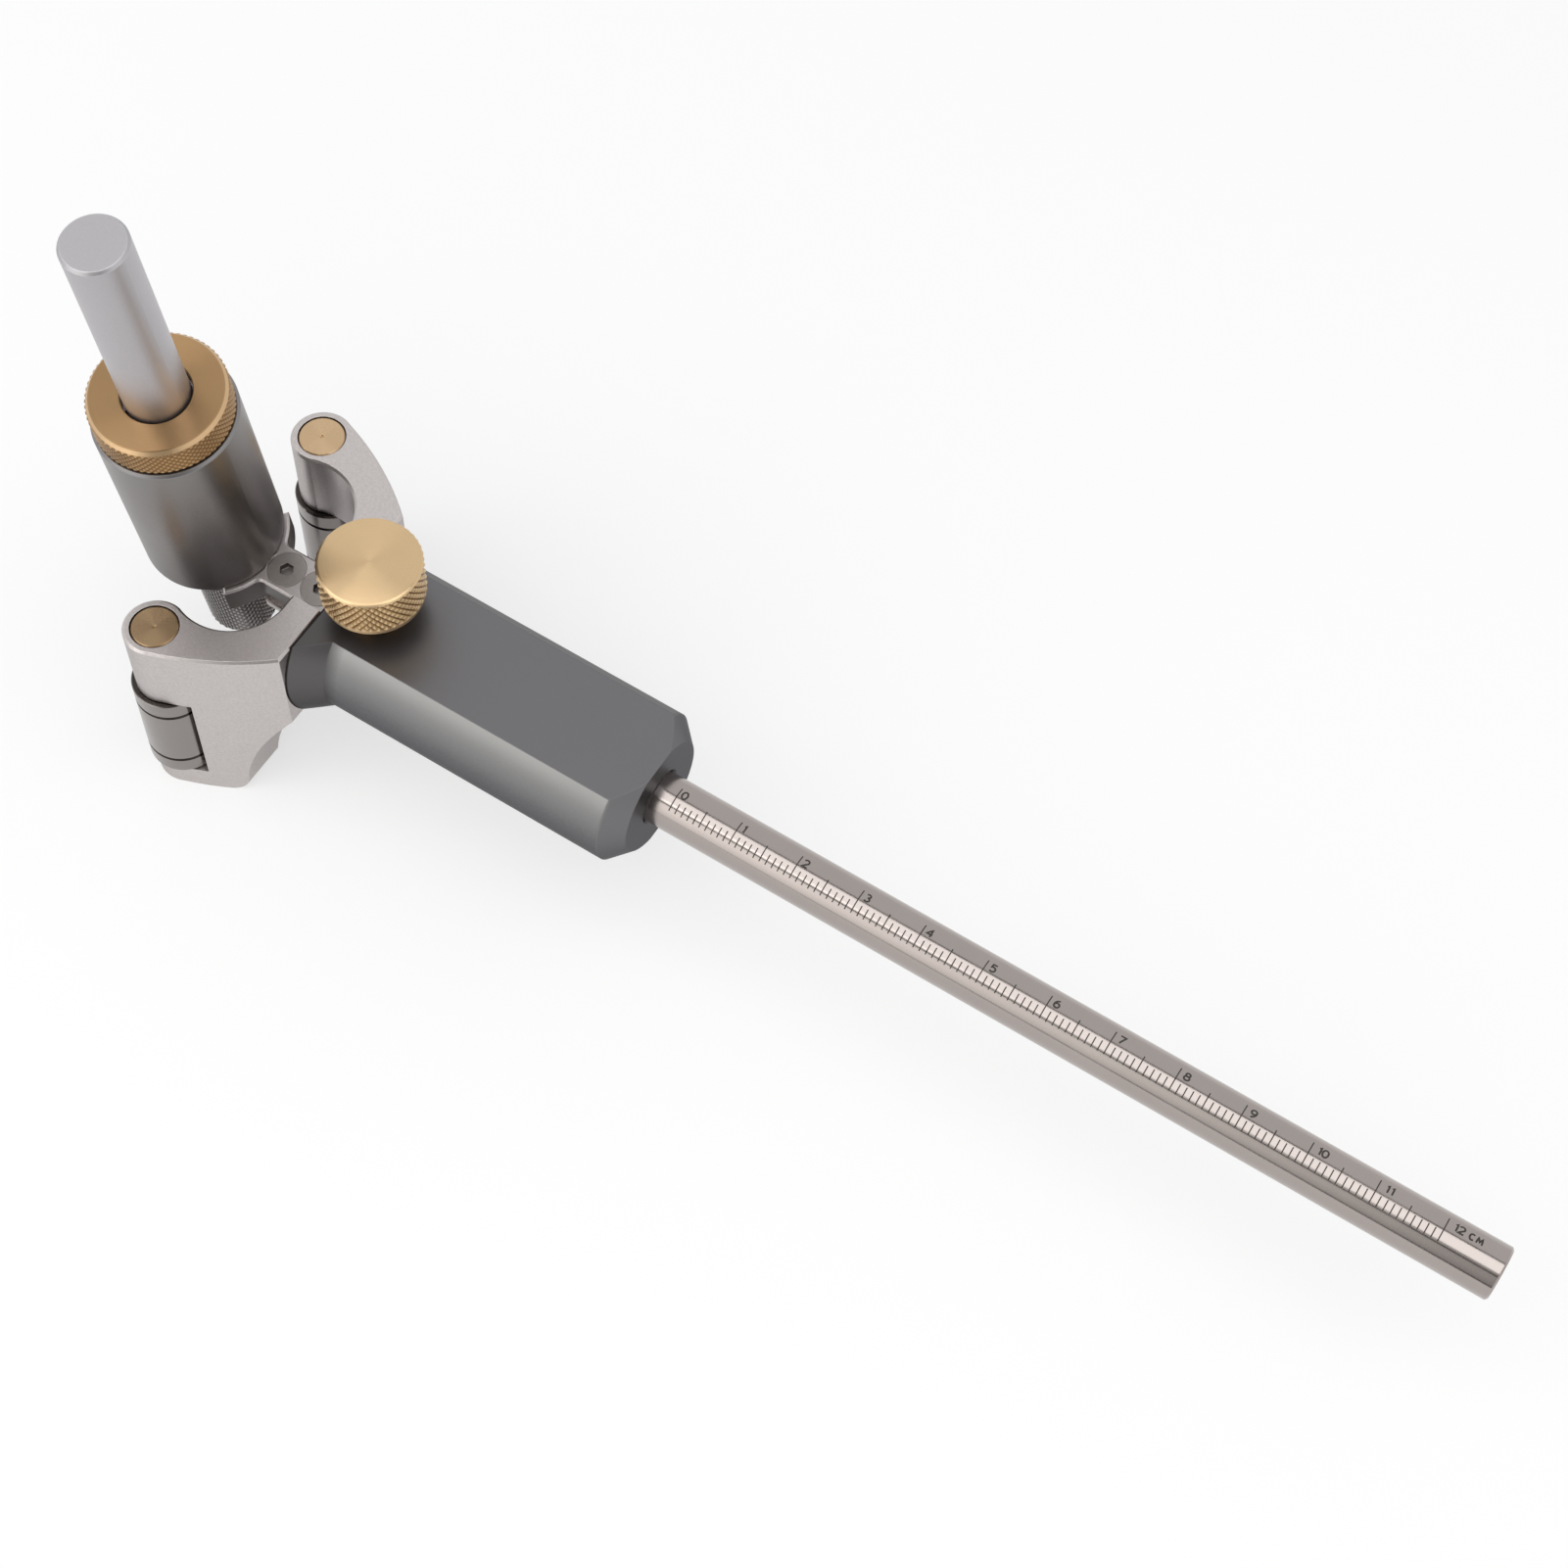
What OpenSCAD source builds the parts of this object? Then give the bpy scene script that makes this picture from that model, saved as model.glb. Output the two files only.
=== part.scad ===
// Scribing ruler with a U shaped roller fence, sliding scale rod and clamped pencil.
// Millimetres. Origin: centre of the handle's lower flat. +X along the rod to its
// graduated end, +Z up, so the rollers and the pencil holder are at -X.

/* [Handle] */
// Length of the handle along the rod
body_l = 55; // [48:1:80]
// Diameter of the handle's round sides
body_d = 23.8; // [23:0.2:28]
// Thickness of the handle over its two flats
flat_t = 17; // [16:0.5:19]
// Size of the 45 degree chamfer at the handle's rear end
end_chamfer = 3; // [1:0.5:4]
// Diameter of the flange that meets the fence head
flange_d = 30; // [28:0.5:32]
// Length of the flange's cone
flange_l = 4.5; // [3:0.5:6]

/* [Scale rod] */
// Diameter of the rod
rod_d = 8; // [7:0.25:9]
// Length of rod behind the handle
rod_tail = 132.4; // [100:0.2:200]
// Turn of the rod and pencil holder about the rod's axis, in degrees
rod_roll = 6.6; // [-8:0.1:8]
// Radial clearance of the rod in the handle
rod_gap = 0.05; // [0.03:0.01:0.09]

/* [Lock knob] */
// Diameter of the knob
knob_d = 15.4; // [14:0.2:18]
// Height of the knob's knurled head
knob_h = 7.5; // [6:0.5:9]
// Height of the knob's skirt above the handle's flat
knob_lift = 4.3; // [3.5:0.1:6]
// Distance of the knob's axis behind the handle's front face
knob_back = 6.2; // [5.5:0.1:8]
// Diameter of the lock screw
lock_screw_d = 5; // [4:0.5:6]

/* [Fence head] */
// Height of the fence head
head_h = 36.4; // [34:0.2:40]
// Distance between the two roller axes
axle_pitch = 40.2; // [39:0.2:44]
// Distance of the roller axes in front of the handle
axle_reach = 18.4; // [17.6:0.1:20]
// Radius of the arm ends round the roller pins
boss_r = 4.7; // [4.5:0.1:5.2]
// Half width of the head at the handle
rear_half = 15.1; // [14.6:0.1:16]
// Radius of the arms' outer sides
outer_r = 49.8; // [45:0.2:56]
// Radius of the arms' inner sides
inner_r = 8.9; // [8.5:0.1:9.2]
// Thickness of the head's rear wall
wall_t = 5.2; // [5:0.1:6]
// Thickness of the arms above the rollers
arm_top_t = 13.2; // [12:0.2:14]
// Thickness of the arms below the rollers
lip_t = 4.2; // [3.6:0.2:5]
// Radius of the hollow under the handle's front end
undercut_r = 30.3; // [28:0.1:34]
// Radius of the arms' lower rear corner
foot_r = 3; // [1:0.5:3.5]
// Size of the bright bevels along the top edges
bevel = 0.35; // [0.2:0.05:0.5]
// Gap between the rod and the floor of the head's slot
slot_gap = 1; // [0.9:0.1:1.5]
// Half the distance between the two screws that hold the head
head_screw_y = 9; // [8.8:0.1:9.4]

/* [Rollers] */
// Outer diameter of the rollers and their bearings
roller_d = 11; // [10.6:0.1:11.6]
// Width of one bearing
bearing_w = 3.2; // [2.8:0.1:3.6]
// Diameter of the roller pins
axle_d = 5; // [4.6:0.1:5.2]
// Diameter of the brass disc on top of a pin
disc_d = 7; // [6.6:0.1:7.4]
// Diameter of the bearing balls
ball_d = 1.6; // [1.4:0.1:1.7]
// Number of balls in one bearing
ball_n = 8; // [6:1:8]

/* [Lug] */
// Width of the lug's neck
lug_w = 6.9; // [6.6:0.1:7.2]
// Thickness of the lug
lug_t = 4.8; // [4.2:0.1:5]
// Height of the rod's milled flat above the rod's axis
flat_z = 1.2; // [0.8:0.1:1.4]
// Distance of the pencil's axis in front of the handle
pencil_reach = 23; // [22.6:0.1:25]
// Distance between the lug's two screws
lug_screw_pitch = 6.1; // [6:0.1:6.6]
// Distance of the first screw from the lug's rear end
lug_screw_in = 3.5; // [3.3:0.1:3.7]
// Width of the ledge round the foot of the pencil holder
ledge_w = 0.75; // [0.5:0.05:1.2]
// Half the angle of that ledge, in degrees
ledge_angle = 46.3; // [40:0.1:60]

/* [Pencil holder] */
// Diameter of the holder tube
tube_d = 20.8; // [20:0.2:22]
// Height of the holder tube
tube_h = 32.9; // [30:0.1:45]
// Diameter of the clamp collar
collar_d = 20.6; // [20:0.2:22]
// Height of the clamp collar
collar_h = 5; // [4.6:0.1:6]

/* [Pencil] */
// Diameter of the pencil's barrel
barrel_d = 9.4; // [9:0.1:9.8]
// Length of barrel above the clamp collar
barrel_out = 35.1; // [28:0.1:60]
// Diameter of the knurled grip
grip_d = 10.9; // [10.5:0.1:11.2]
// Length of the knurled grip
grip_l = 15.6; // [14:0.1:20]
// Diameter of the lead
lead_d = 2; // [1.8:0.1:2.2]
// Length of lead that stands out of the nose
lead_out = 2.4; // [1:0.1:3]

/* [Hidden] */
$fn = 96;
eps = 0.5;
axis_z = flat_t / 2;
rod_r = rod_d / 2;
bore_r = rod_r + rod_gap;
run = 0.05;
free = 0.3;

// Handle
front_x = -body_l / 2;
rear_x = body_l / 2;
knob_x = front_x + knob_back;
half_t = flat_t / 2;
// Edges and small steps shared by the turned pieces
edge = 0.3;
rim = 0.4;
top_edge = 0.5;
sunk = 0.2;
flush = 0.05;
step_gap = 0.1;
mouth = 0.4;
lock_r = lock_screw_d / 2;
pad_r = lock_r - run;
pad_t = 1.2;
pad_fit = 0.01;
pad_top = bore_r + pad_t;
knob_r = knob_d / 2;
knob_z = half_t + knob_lift;
neck_r = 4.6;
neck_gap = 0.4;
stud_in = 2.2;

// Fence head, heights counted from the rod's axis
head_z = half_t - head_h;
axle_x = front_x - axle_reach;
axle_y = axle_pitch / 2;
wall_x = front_x - wall_t;
// Overlap that joins two arcs smoothly
blend = 0.05;
inner_x = wall_x - inner_r + blend;
inner_far = inner_r + boss_r - blend;
inner_y = axle_y - sqrt(pow(inner_far, 2) - pow(inner_x - axle_x, 2));
// Outer arc: its circle runs round the pin's boss and through the rear corner
span_x = front_x - axle_x;
span_y = rear_half - axle_y;
span = sqrt(span_x * span_x + span_y * span_y);
outer_far = outer_r - boss_r + blend;
along = (pow(outer_far, 2) - pow(outer_r, 2) + span * span) / (2 * span);
across = sqrt(pow(outer_far, 2) - along * along);
outer_x = axle_x + (along * span_x + across * span_y) / span;
outer_y = axle_y + (along * span_y - across * span_x) / span;
// Points where the boss meets the inner and the outer arc
join_in = [
  inner_x + (axle_x - inner_x) * inner_r / inner_far,
  inner_y + (axle_y - inner_y) * inner_r / inner_far
];
join_out = [
  outer_x + (axle_x - outer_x) * outer_r / outer_far,
  outer_y + (axle_y - outer_y) * outer_r / outer_far
];
undercut_x = front_x + sqrt(pow(undercut_r, 2) - pow(head_h - flat_t, 2));
foot_up = foot_r - blend;
foot_x = undercut_x - sqrt(pow(undercut_r + foot_up, 2) - foot_up * foot_up);
foot_top = foot_up * undercut_r / (undercut_r + foot_up);
// Lower edge of the head's rear wall
web_z = -13;
// Share by which a sloping cut runs past the arm
past = 0.2;
slot_r = rod_r + slot_gap;
roller_r = roller_d / 2;
gap_top = half_t - arm_top_t;
gap_low = head_z + lip_t;
roller_room = 0.75;
gap_back = axle_x + roller_r + roller_room;
m3_r = 1.5;
m3_head_r = 2.75;
m3_head_h = 3;
m3_seat = 2.1;
m3_reach = 8;
m3_spare = 1;
m3_pass = 0.2;
m3_key = 2.9;
m3_key_in = 1.5;

// Rollers
axle_r = axle_d / 2;
disc_r = disc_d / 2;
disc_t = 2.5;
disc_gap = 0.15;
dimple = 0.3;
side_gap = 0.25;
ball_r = ball_d / 2;
pitch_r = (axle_r + roller_r) / 2;
race = 0.035;
shoulder = 0.5;
cage_half_w = 0.2;
cage_half_h = ball_r + 0.4;
ring_top = gap_top - side_gap;
ring_low = gap_low + side_gap;
seam_top = ring_top - bearing_w;
seam_low = ring_low + bearing_w;
ball_zs = [ring_top - bearing_w / 2, ring_low + bearing_w / 2];
// Width of one side of the groove between bearing and roller, and its depth
seam = 0.3;
seam_in = 0.55;

// Lug and rod front, in the frame of the turned rod
pencil_x = front_x - pencil_reach;
lug_rear = front_x - 0.2;
lug_half = lug_w / 2;
lug_z = flat_z + lug_t;
screw_a = lug_rear - lug_screw_in;
screw_b = screw_a - lug_screw_pitch;
end_wall = 2.35;
rod_front = screw_b - end_wall;
csk_r = 2.85;
csk_rim = 0.15;
csk_low = lug_z - csk_rim - (csk_r - m3_r);
lug_screw_l = 8;
csk_end = lug_z - lug_screw_l;
csk_key = 2.3;
csk_key_in = 1.4;
tube_r = tube_d / 2;
ledge_r = tube_r + ledge_w;
grip_r = grip_d / 2;
grip_bore = grip_r + free;
spigot_wall = 0.9;
spigot_r = grip_bore + spigot_wall;
eye_wall = 1.15;
eye_r = spigot_r + eye_wall;

// Pencil holder
tube_z = lug_z;
tube_top = tube_z + tube_h;
barrel_r = barrel_d / 2;
collar_low = tube_top + free;
collar_top = collar_low + collar_h;
web_t = 1.7;
collet_top = collar_top - web_t;
neck_top = collet_top - free;
neck_step = 1.8;
tube_neck_r = tube_r - neck_step;
collar_gap = 0.3;
guide_r = barrel_r + run;
collet_t = 1.65;
collet_r = guide_r + collet_t;
cone_h = 1.45;
collet_l = 11.4;
guide_h = 5;
collet_z = neck_top - collet_l;
guide_low = collet_z - guide_h;
thread_gap = 0.05;
slit = 0.8;
slit_in = 2.5;

// Pencil
barrel_top = collar_top + barrel_out;
nut_top = -1.1;
nut_low = nut_top - grip_l;
thread_step = 1.3;
thread_r = barrel_r - thread_step;
thread_l = 8;
thread_low = nut_top - thread_l;
lead_r = lead_d / 2;
lead_bore = lead_r + free;
chuck_r = 1.9;
chuck_head = 2.3;
chuck_in = 2;
chuck_drop = 1.5;
chuck_cone = 0.7;
chuck_side = 2;
chuck_nose = 1.9;
chuck_slit = 0.5;
chuck_split = 4;
chuck_z = nut_low - chuck_drop;
chuck_low = chuck_z - chuck_cone - chuck_side - chuck_nose;
nose_l = 8.9;
nose_wall = 1;
nose_low = nut_low - nose_l;
tip_low = nose_low - lead_out;
tip_r = 0.15;
// Share of the lead's free length that is ground to a point
point_share = 0.6;
// Thickness of the barrel's closed end, and free room over a new lead
cap_t = 2.3;
lead_room = 15;
bore_top = barrel_top - cap_t;
lead_top = bore_top - lead_room;

// Raises a shape from the rod's axis to its height above the lower flat
module at_axis() {
  translate([0, 0, axis_z]) children();
}

// Places a shape in the frame of the turned rod
module on_rod() {
  at_axis() rotate([rod_roll, 0, 0]) children();
}

// Places a shape on the pencil's axis
module on_pencil() {
  on_rod() translate([pencil_x, 0, 0]) children();
}

// Lays a shape that stands along Z down along X
module along_x() {
  rotate([0, 90, 0]) children();
}

module ring(outer, inner, low, high) {
  translate([0, 0, low]) difference() {
    cylinder(r = outer, h = high - low);
    translate([0, 0, -eps]) cylinder(r = inner, h = high - low + 2 * eps);
  }
}

// Round disc with a bevel along its top edge
module bevelled_disc(r, h, b) {
  rotate_extrude() polygon([[0, 0], [r, 0], [r, h - b], [r - b, h], [0, h]]);
}

// Cutter for a round opening with a bevelled top edge
module bevelled_cut(r, h, b) {
  rotate_extrude()
    polygon([[0, -eps], [r, -eps], [r, h - b], [r + b, h], [r + b, h + eps], [0, h + eps]]);
}

module body() {
  r = body_d / 2;
  color([0.42, 0.43, 0.45]) at_axis() difference() {
    intersection() {
      along_x() rotate_extrude() polygon([
        [0, front_x], [flange_d / 2, front_x], [r, front_x + flange_l],
        [r, rear_x - end_chamfer], [r - end_chamfer, rear_x], [0, rear_x]
      ]);
      cube([2 * body_l, 2 * flange_d, flat_t], center = true);
    }
    along_x() rotate_extrude() polygon([
      [0, front_x - eps], [bore_r, front_x - eps], [bore_r, rear_x - mouth],
      [bore_r + mouth, rear_x], [bore_r + mouth, rear_x + eps], [0, rear_x + eps]
    ]);
    translate([knob_x, 0, 0]) cylinder(r = lock_r + run, h = half_t + eps);
    for (y = [-head_screw_y, head_screw_y])
      translate([front_x - eps, y, 0]) along_x()
        cylinder(r = m3_r, h = m3_reach + m3_spare + eps);
  }
}

// The arms' outline seen from the side, laid out in X and Z
module head_side() {
  far = axle_x - 2 * boss_r;
  difference() {
    polygon([
      [far, head_z], [front_x, head_z], [front_x, half_t - bevel],
      [front_x - bevel, half_t], [far, half_t]
    ]);
    translate([undercut_x, head_z]) circle(r = undercut_r);
    difference() {
      translate([foot_x, head_z - eps]) square([foot_r + eps, foot_top + eps]);
      translate([foot_x, head_z + foot_up]) circle(r = foot_r);
    }
  }
}

// One arm's field behind the boss, up to the rear plane
module arm_field() {
  out = join_out - join_in;
  translate([0, 0, head_z - eps]) linear_extrude(height = head_h + 2 * eps) polygon([
    [join_in[0], -eps], join_in, join_out + out * past, [front_x + eps, axle_y + 2 * boss_r],
    [front_x + eps, -eps]
  ]);
}

module head_block() {
  intersection() {
    for (side = [0, 1]) mirror([0, side, 0]) arm_field();
    translate([outer_x, outer_y, head_z]) bevelled_disc(outer_r, head_h, bevel, $fn = 360);
    translate([outer_x, -outer_y, head_z]) bevelled_disc(outer_r, head_h, bevel, $fn = 360);
  }
  for (y = [-axle_y, axle_y])
    translate([axle_x, y, head_z]) bevelled_disc(boss_r, head_h, bevel);
}

module fence_head() {
  reach = 2 * roller_d;
  color([0.74, 0.73, 0.72]) at_axis() difference() {
    intersection() {
      head_block();
      rotate([90, 0, 0]) linear_extrude(height = 2 * axle_pitch, center = true) head_side();
    }
    for (y = [-inner_y, inner_y])
      translate([inner_x, y, head_z]) bevelled_cut(inner_r, head_h, bevel);
    rotate([90, 0, 0]) linear_extrude(height = 2 * inner_y, center = true) polygon([
      [inner_x - boss_r * 2, head_z - eps], [wall_x, head_z - eps], [wall_x, half_t - bevel],
      [wall_x + bevel, half_t], [wall_x + bevel, half_t + eps],
      [inner_x - boss_r * 2, half_t + eps]
    ]);
    translate([wall_x - eps, -inner_y, head_z - eps])
      cube([wall_t + 2 * eps, 2 * inner_y, web_z - head_z + eps]);
    translate([wall_x - eps, 0, 0]) along_x() cylinder(r = slot_r, h = wall_t + 2 * eps);
    translate([wall_x - eps, -slot_r, 0]) cube([wall_t + 2 * eps, 2 * slot_r, half_t + eps]);
    translate([gap_back - reach, -axle_pitch, gap_low])
      cube([reach, 2 * axle_pitch, gap_top - gap_low]);
    for (y = [-axle_y, axle_y]) translate([axle_x, y, 0]) {
      translate([0, 0, head_z - eps]) cylinder(r = axle_r, h = head_h + 2 * eps);
      translate([0, 0, half_t - disc_t]) cylinder(r = disc_r + disc_gap, h = disc_t + eps);
    }
    for (y = [-head_screw_y, head_screw_y]) translate([front_x, y, 0]) rotate([0, -90, 0]) {
      translate([0, 0, -eps]) cylinder(r = m3_r + m3_pass, h = m3_seat + 2 * eps);
      translate([0, 0, m3_seat]) cylinder(r = m3_head_r + m3_pass, h = 2 * wall_t);
    }
  }
}

module head_screws() {
  color([0.35, 0.35, 0.36]) at_axis() for (y = [-head_screw_y, head_screw_y])
    translate([front_x - m3_seat, y, 0]) rotate([0, -90, 0]) difference() {
      union() {
        cylinder(r = m3_head_r, h = m3_head_h);
        translate([0, 0, -m3_seat - m3_reach]) cylinder(r = m3_r, h = m3_seat + m3_reach);
      }
      translate([0, 0, m3_head_h - m3_key_in]) cylinder(d = m3_key, h = m3_key_in + eps, $fn = 6);
    }
}

module axle() {
  color([0.74, 0.6, 0.38]) at_axis() translate([axle_x, 0, 0]) rotate_extrude() polygon([
    [0, head_z + sunk], [axle_r - edge, head_z + sunk], [axle_r, head_z + sunk + edge],
    [axle_r, half_t - disc_t], [disc_r, half_t - disc_t], [disc_r, half_t - sunk],
    [disc_r - sunk, half_t], [dimple, half_t], [0, half_t - dimple]
  ]);
}

// Bearing groove cutter at one height
module race_cut(z) {
  translate([0, 0, z]) rotate_extrude() translate([pitch_r, 0]) circle(r = ball_r + race, $fn = 48);
}

module inner_rings() {
  color([0.7, 0.7, 0.7]) at_axis() translate([axle_x, 0, 0]) {
    difference() {
      ring(pitch_r - shoulder, axle_r, seam_top, gap_top);
      race_cut(ball_zs[0]);
    }
    difference() {
      ring(pitch_r - shoulder, axle_r, gap_low, seam_low);
      race_cut(ball_zs[1]);
    }
  }
}

module spacer() {
  color([0.7, 0.7, 0.7]) at_axis() translate([axle_x, 0, 0])
    ring(pitch_r - shoulder, axle_r, seam_low, seam_top);
}

module sleeve() {
  color([0.72, 0.71, 0.72]) at_axis() translate([axle_x, 0, 0]) rotate_extrude() polygon([
    [pitch_r + shoulder, seam_low], [roller_r - seam_in, seam_low], [roller_r, seam_low + seam],
    [roller_r, seam_top - seam], [roller_r - seam_in, seam_top], [pitch_r + shoulder, seam_top]
  ]);
}

// Outer ring of one bearing, its deep groove side down
module outer_ring() {
  difference() {
    rotate_extrude() polygon([
      [pitch_r + shoulder, 0], [roller_r - seam_in, 0], [roller_r, seam], [roller_r, bearing_w - sunk],
      [roller_r - sunk, bearing_w], [pitch_r + shoulder, bearing_w]
    ]);
    race_cut(bearing_w / 2);
  }
}

module outer_rings() {
  color([0.68, 0.68, 0.69]) at_axis() translate([axle_x, 0, 0]) {
    translate([0, 0, seam_top]) outer_ring();
    translate([0, 0, seam_low]) mirror([0, 0, 1]) outer_ring();
  }
}

module ball_set() {
  color([0.8, 0.8, 0.8]) at_axis() translate([axle_x, 0, 0])
    for (z = ball_zs) for (i = [0:ball_n - 1]) rotate([0, 0, i * 360 / ball_n])
      translate([pitch_r, 0, z]) sphere(r = ball_r, $fn = 32);
}

module cages() {
  color([0.55, 0.5, 0.4]) at_axis() translate([axle_x, 0, 0]) for (z = ball_zs) difference() {
    ring(pitch_r + cage_half_w, pitch_r - cage_half_w, z - cage_half_h, z + cage_half_h);
    for (i = [0:ball_n - 1]) rotate([0, 0, i * 360 / ball_n])
      translate([pitch_r - shoulder, 0, z]) along_x() cylinder(r = ball_r + race, h = 2 * shoulder);
  }
}

module clamp_pad() {
  color([0.78, 0.62, 0.4]) at_axis() difference() {
    translate([knob_x, 0, 0]) cylinder(r = pad_r, h = pad_top);
    translate([knob_x - knob_r, 0, 0]) along_x() cylinder(r = bore_r + pad_fit, h = knob_d);
    translate([knob_x, 0, -rod_r / 2]) cube([knob_d, knob_d, rod_r], center = true);
  }
}

module lock_screw() {
  color([0.6, 0.6, 0.6]) at_axis() translate([knob_x, 0, pad_top])
    cylinder(r = lock_r, h = knob_z + stud_in - pad_top);
}

module lock_knob() {
  color([0.79, 0.66, 0.45]) at_axis() translate([knob_x, 0, 0]) rotate_extrude() polygon([
    [lock_r, half_t + neck_gap], [neck_r, half_t + neck_gap], [neck_r, knob_z],
    [knob_r - rim, knob_z], [knob_r, knob_z + rim], [knob_r, knob_z + knob_h - top_edge],
    [knob_r - top_edge, knob_z + knob_h], [0, knob_z + knob_h], [0, knob_z + stud_in],
    [lock_r, knob_z + stud_in]
  ]);
}

module scale_rod() {
  tail = rear_x + rod_tail;
  flat_l = lug_rear + step_gap - rod_front + eps;
  color([0.66, 0.62, 0.6]) on_rod() difference() {
    along_x() rotate_extrude() polygon([
      [0, rod_front], [rod_r - edge, rod_front], [rod_r, rod_front + edge], [rod_r, tail - edge],
      [rod_r - edge, tail], [0, tail]
    ]);
    translate([rod_front - eps, -rod_d, flat_z]) cube([flat_l, 2 * rod_d, rod_d]);
    for (x = [screw_a, screw_b]) translate([x, 0, csk_end - free])
      cylinder(r = m3_r, h = flat_z + eps - csk_end + free);
  }
}

// The lug's outline seen along the pencil's axis, which is its origin
module lug_plan() {
  far = ledge_r * 2;
  circle(r = eye_r);
  intersection() {
    circle(r = ledge_r);
    polygon([[0, 0], [far, -far * tan(ledge_angle)], [far, far * tan(ledge_angle)]]);
  }
  translate([0, -lug_half]) square([lug_rear - pencil_x, lug_w]);
}

module rod_lug() {
  color([0.74, 0.73, 0.72]) difference() {
    on_pencil() translate([0, 0, flat_z]) linear_extrude(height = lug_t) difference() {
      lug_plan();
      circle(r = spigot_r);
    }
    on_rod() for (x = [screw_a, screw_b]) translate([x, 0, 0]) rotate_extrude() polygon([
      [0, flat_z - eps], [m3_r, flat_z - eps], [m3_r, csk_low], [csk_r, lug_z - csk_rim],
      [csk_r + step_gap, lug_z - csk_rim], [csk_r + step_gap, lug_z + eps], [0, lug_z + eps]
    ]);
  }
}

module lug_screws() {
  color([0.6, 0.6, 0.6]) on_rod() for (x = [screw_a, screw_b]) translate([x, 0, 0]) difference() {
    rotate_extrude() polygon([
      [0, csk_end], [m3_r, csk_end], [m3_r, csk_low], [csk_r, lug_z - csk_rim],
      [csk_r, lug_z - flush], [0, lug_z - flush]
    ]);
    translate([0, 0, lug_z - csk_key_in]) cylinder(d = csk_key, h = csk_key_in + eps, $fn = 6);
  }
}

module holder_tube() {
  color([0.42, 0.41, 0.4]) on_pencil() rotate_extrude() polygon([
    [grip_bore, flat_z], [spigot_r, flat_z], [spigot_r, tube_z], [tube_r - bevel, tube_z],
    [tube_r, tube_z + bevel], [tube_r, tube_top - bevel], [tube_r - bevel, tube_top],
    [tube_neck_r, tube_top], [tube_neck_r, neck_top], [collet_r + run + cone_h, neck_top],
    [collet_r + run, neck_top - cone_h], [collet_r + run, collet_z], [guide_r, collet_z],
    [guide_r, guide_low], [grip_bore, guide_low]
  ]);
}

module collet() {
  color([0.65, 0.65, 0.65]) on_pencil() difference() {
    rotate_extrude() polygon([
      [guide_r, collet_z + step_gap], [collet_r, collet_z + step_gap], [collet_r, neck_top - cone_h],
      [collet_r + cone_h, neck_top], [collet_r + cone_h, collet_top], [guide_r, collet_top]
    ]);
    for (a = [0:120:240]) rotate([0, 0, a]) translate([0, -slit / 2, collet_z + slit_in])
      cube([tube_r, slit, collet_l]);
  }
}

module clamp_collar() {
  r = collar_d / 2;
  color([0.72, 0.58, 0.38]) on_pencil() rotate_extrude() polygon([
    [tube_neck_r + thread_gap, collar_low], [r - edge, collar_low], [r, collar_low + edge],
    [r, collar_top - top_edge], [r - top_edge, collar_top], [barrel_r + collar_gap, collar_top],
    [barrel_r + collar_gap, collet_top], [tube_neck_r + thread_gap, collet_top]
  ]);
}

module pencil_barrel() {
  color([0.72, 0.71, 0.73]) on_pencil() rotate_extrude() polygon([
    [chuck_r, thread_low], [thread_r, thread_low], [thread_r, nut_top], [barrel_r, nut_top],
    [barrel_r, barrel_top - rim], [barrel_r - rim, barrel_top], [0, barrel_top],
    [0, bore_top], [lead_bore, bore_top], [lead_bore, nut_top - chuck_in], [chuck_r, nut_top - chuck_in]
  ]);
}

module lead_chuck() {
  color([0.78, 0.65, 0.42]) on_pencil() difference() {
    rotate_extrude() polygon([
      [lead_r + run, nut_top - chuck_in], [chuck_r, nut_top - chuck_in], [chuck_r, chuck_z],
      [chuck_head, chuck_z - chuck_cone], [chuck_head, chuck_low + chuck_nose],
      [lead_r + rim, chuck_low], [lead_r + run, chuck_low]
    ]);
    for (a = [0:120:240]) rotate([0, 0, a]) translate([0, -chuck_slit / 2, chuck_low - eps])
      cube([grip_r, chuck_slit, chuck_z + chuck_split - chuck_low + eps]);
  }
}

module grip_nut() {
  color([0.55, 0.55, 0.56]) on_pencil() rotate_extrude() polygon([
    [thread_r + run, nut_top], [grip_r - edge, nut_top], [grip_r, nut_top - edge],
    [grip_r, nut_low + edge], [grip_r - rim, nut_low], [lead_r + nose_wall, nose_low],
    [lead_bore, nose_low], [lead_bore, chuck_low - 2 * free], [chuck_head + free, chuck_low + chuck_nose],
    [chuck_head + free, thread_low - sunk], [thread_r + run, thread_low - sunk]
  ]);
}

module lead() {
  color([0.2, 0.2, 0.21]) on_pencil() rotate_extrude() polygon([
    [0, tip_low], [tip_r, tip_low], [lead_r, tip_low + lead_out * point_share],
    [lead_r, lead_top], [0, lead_top]
  ]);
}

module left() {
  translate([0, -axle_y, 0]) children();
}

module right() {
  translate([0, axle_y, 0]) children();
}

body();
fence_head();
head_screws();
left() axle();  // left_axle
right() axle();  // right_axle
left() inner_rings();  // left_inner_rings
right() inner_rings();  // right_inner_rings
left() spacer();  // left_spacer
right() spacer();  // right_spacer
left() sleeve();  // left_sleeve
right() sleeve();  // right_sleeve
left() outer_rings();  // left_outer_rings
right() outer_rings();  // right_outer_rings
left() ball_set();  // left_ball_set
right() ball_set();  // right_ball_set
left() cages();  // left_cages
right() cages();  // right_cages
clamp_pad();
lock_screw();
lock_knob();
scale_rod();
rod_lug();
lug_screws();
holder_tube();
collet();
clamp_collar();
pencil_barrel();
lead_chuck();
grip_nut();
lead();
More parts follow.
